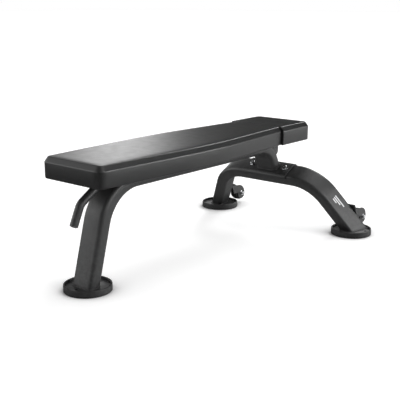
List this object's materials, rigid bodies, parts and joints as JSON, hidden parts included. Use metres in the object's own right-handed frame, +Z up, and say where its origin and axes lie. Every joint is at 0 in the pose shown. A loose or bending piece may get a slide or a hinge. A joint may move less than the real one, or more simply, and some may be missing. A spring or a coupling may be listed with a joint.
{
  "type": "flat weight bench",
  "caption": "Flat weight bench: tapered padded top on a bent spine tube, leaning rear arch, round feet, lift handle at the front and transport wheels at the back.",
  "frame": {"origin": "on the floor under the middle of the whole bench, in length and in width", "axes": "+Y along the pad towards the head end, the rear arch and the wheels, +Z up, +X towards the right-hand leg as seen from the lift handle"},
  "size_m": [0.8496, 1.3454, 0.4417],
  "materials": {
    "vinyl": "satin black vinyl with a fine grain",
    "board": "black stained plywood",
    "powder_coat": "satin black powder coat",
    "rubber": "matt black rubber",
    "plastic": "matt black nylon",
    "plated_steel": "bright plated steel",
    "marking": "light grey print"
  },
  "bodies": {
    "frame": {"spine_tube": "powder_coat", "rear_arch_tube": "powder_coat", "saddle_plate": "powder_coat", "rear_pad_bracket": "powder_coat", "front_pad_plate": "powder_coat", "lift_handle": "powder_coat", "handle_plug": "plastic", "foot_plate_front": "powder_coat", "foot_plate_left": "powder_coat", "foot_plate_right": "powder_coat", "foot_rubber_front": "rubber", "foot_rubber_left": "rubber", "foot_rubber_right": "rubber", "pad_cushion": "vinyl", "pad_sleeve": "vinyl", "pad_board": "board", "pad_bolt_front": "plated_steel", "pad_bolt_rear": "plated_steel", "pad_washer_front": "plated_steel", "pad_washer_rear": "plated_steel", "pad_tnut_front": "plated_steel", "pad_tnut_rear": "plated_steel", "pad_screw_1": "plated_steel", "pad_screw_2": "plated_steel", "pad_screw_3": "plated_steel", "pad_screw_4": "plated_steel", "pad_screw_5": "plated_steel", "pad_screw_6": "plated_steel", "saddle_bolt_left": "plated_steel", "saddle_bolt_right": "plated_steel", "saddle_washer_top_left": "plated_steel", "saddle_washer_top_right": "plated_steel", "saddle_washer_under_left": "plated_steel", "saddle_washer_under_right": "plated_steel", "saddle_nut_left": "plated_steel", "saddle_nut_right": "plated_steel", "wheel_bracket_left": "powder_coat", "wheel_bracket_right": "powder_coat", "axle_bolt_left": "plated_steel", "axle_bolt_right": "plated_steel", "axle_nut_left": "plated_steel", "axle_nut_right": "plated_steel", "axle_washer_outer_left": "plated_steel", "axle_washer_outer_right": "plated_steel", "axle_washer_inner_left": "plated_steel", "axle_washer_inner_right": "plated_steel", "leg_mark_left_1": "marking", "leg_mark_left_2": "marking", "leg_mark_left_3": "marking", "leg_mark_right_1": "marking", "leg_mark_right_2": "marking", "leg_mark_right_3": "marking"},
    "wheel_left": {"wheel_tyre_left": "rubber", "wheel_hub_left": "plastic"},
    "wheel_right": {"wheel_tyre_right": "rubber", "wheel_hub_right": "plastic"}
  },
  "joints": [
    {"name": "wheel_left_spin", "type": "hinge", "parent": "frame", "child": "wheel_left", "pos_m": [-0.319, 0.64125, 0.049], "axis": [1, 0, 0], "continuous": true},
    {"name": "wheel_right_spin", "type": "hinge", "parent": "frame", "child": "wheel_right", "pos_m": [0.319, 0.64125, 0.049], "axis": [1, 0, 0], "continuous": true}
  ]
}
